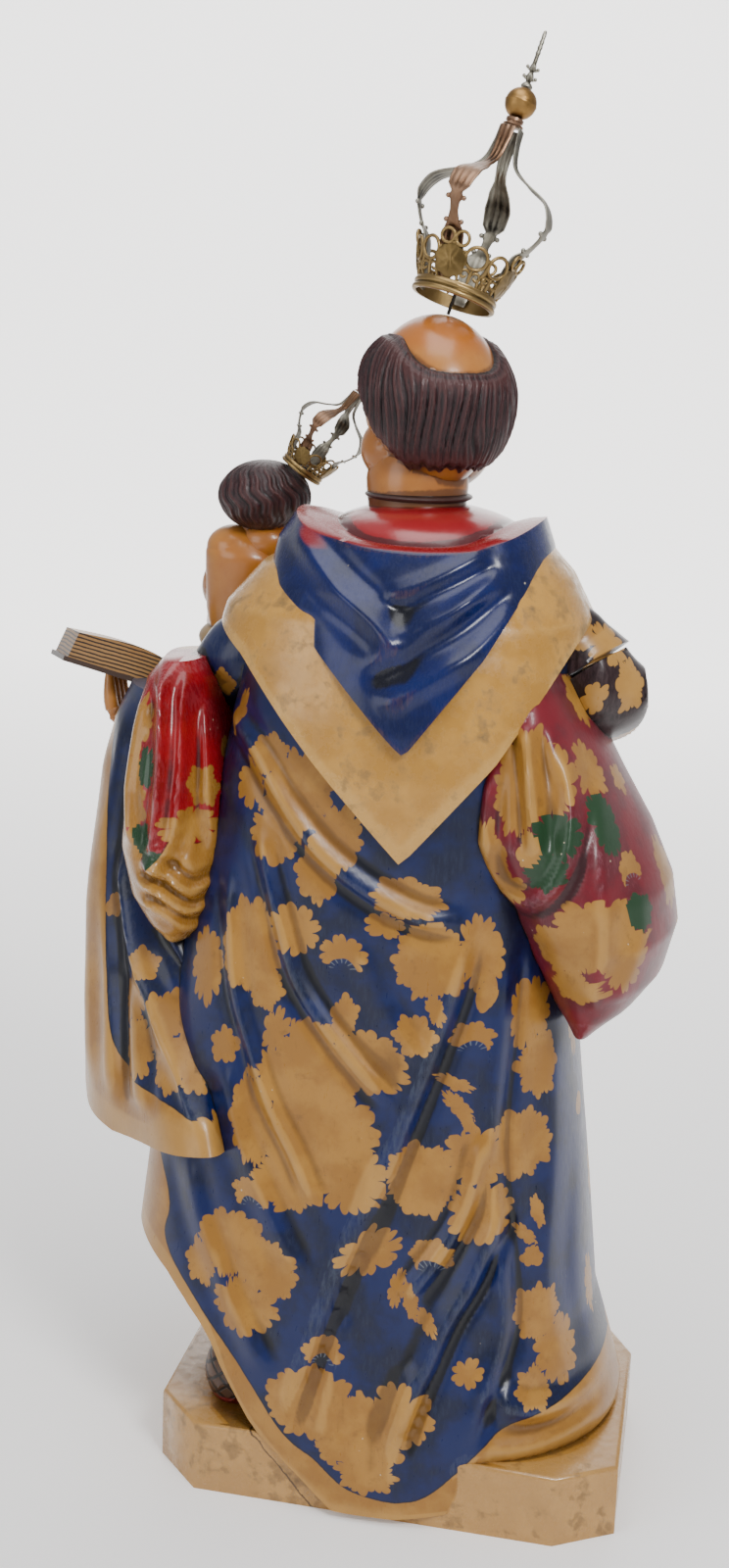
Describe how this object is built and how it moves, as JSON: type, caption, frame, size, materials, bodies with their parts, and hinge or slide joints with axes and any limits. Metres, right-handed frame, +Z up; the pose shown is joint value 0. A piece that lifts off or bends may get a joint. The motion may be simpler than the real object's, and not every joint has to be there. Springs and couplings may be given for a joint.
{
  "type": "carved devotional statue",
  "caption": "Painted wooden statue of a standing friar with a child on an open book, both with openwork brass crowns.",
  "frame": {"origin": "middle of the octagonal base's flat underside", "axes": "+Z up through the figure, +X towards its left hand, -Y the way that it faces"},
  "size_m": [0.5283, 0.3443, 1.0829],
  "materials": {
    "painted_robe": "glossy blue, red and gold paint, worn",
    "painted_book": "satin gold and black paint",
    "painted_skin": "satin flesh paint",
    "gallery_brass": "worn, patinated",
    "arch_brass": "tarnished grey",
    "iron_pin": "dark"
  },
  "bodies": {
    "root": {"saint": "painted_robe", "open_book": "painted_book", "child": "painted_skin", "saint_crown_band": "gallery_brass", "saint_crown_arch_1": "arch_brass", "saint_crown_arch_2": "arch_brass", "saint_crown_arch_3": "arch_brass", "saint_crown_arch_4": "arch_brass", "saint_crown_socket": "arch_brass", "saint_crown_strap": "arch_brass", "saint_crown_orb": "arch_brass", "saint_crown_finial": "arch_brass", "saint_crown_pin": "iron_pin", "child_crown_band": "gallery_brass", "child_crown_arch_1": "arch_brass", "child_crown_arch_2": "arch_brass", "child_crown_arch_3": "arch_brass", "child_crown_arch_4": "arch_brass", "child_crown_socket": "arch_brass", "child_crown_strap": "arch_brass", "child_crown_orb": "arch_brass", "child_crown_pin": "iron_pin"}
  },
  "joints": []
}
